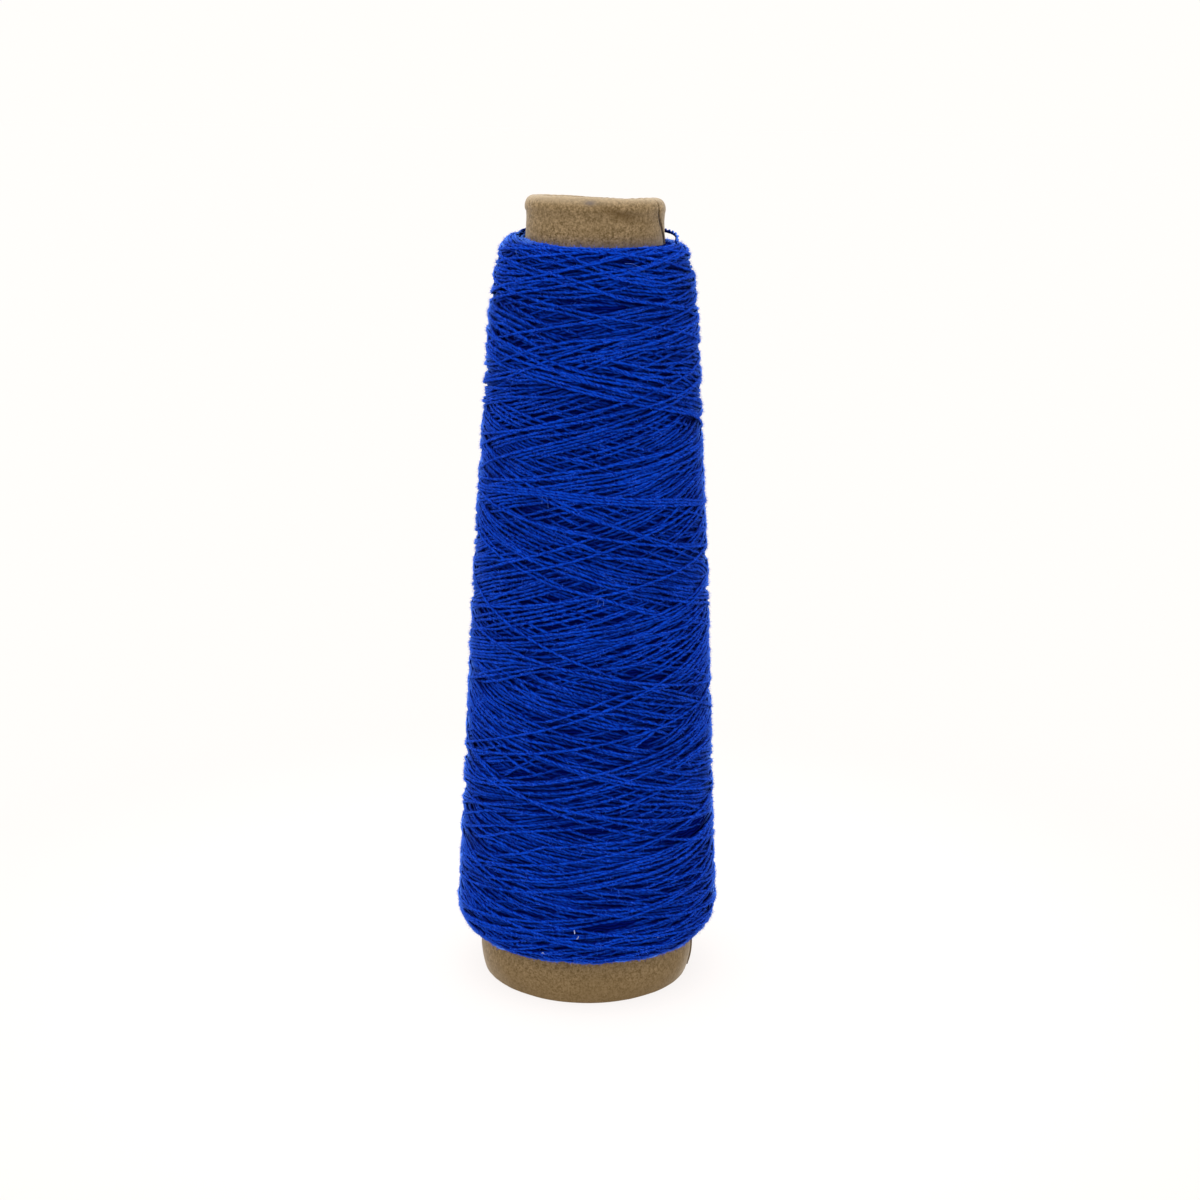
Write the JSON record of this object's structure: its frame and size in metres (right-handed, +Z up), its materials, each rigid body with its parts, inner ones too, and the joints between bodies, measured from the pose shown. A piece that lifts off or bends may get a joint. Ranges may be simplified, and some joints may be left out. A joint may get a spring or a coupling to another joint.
{
  "type": "thread cone",
  "caption": "Tapered paper cone with a rolled nose, cross-wound with blue sewing thread, its free end lying round the nose.",
  "frame": {"origin": "centre of the cone's foot, on the surface it stands on", "axes": "+Z up along the cone's axis to the nose, -Y towards the viewer of the picture, +X to the right"},
  "size_m": [0.0574, 0.0565, 0.17],
  "materials": {
    "paper": "matt brown rolled board with short fibres showing",
    "thread": "matt royal blue two-ply spun thread, slightly hairy"
  },
  "bodies": {
    "root": {"paper_cone": "paper", "thread_package": "thread", "outer_winding": "thread", "thread_tail": "thread"}
  },
  "joints": []
}
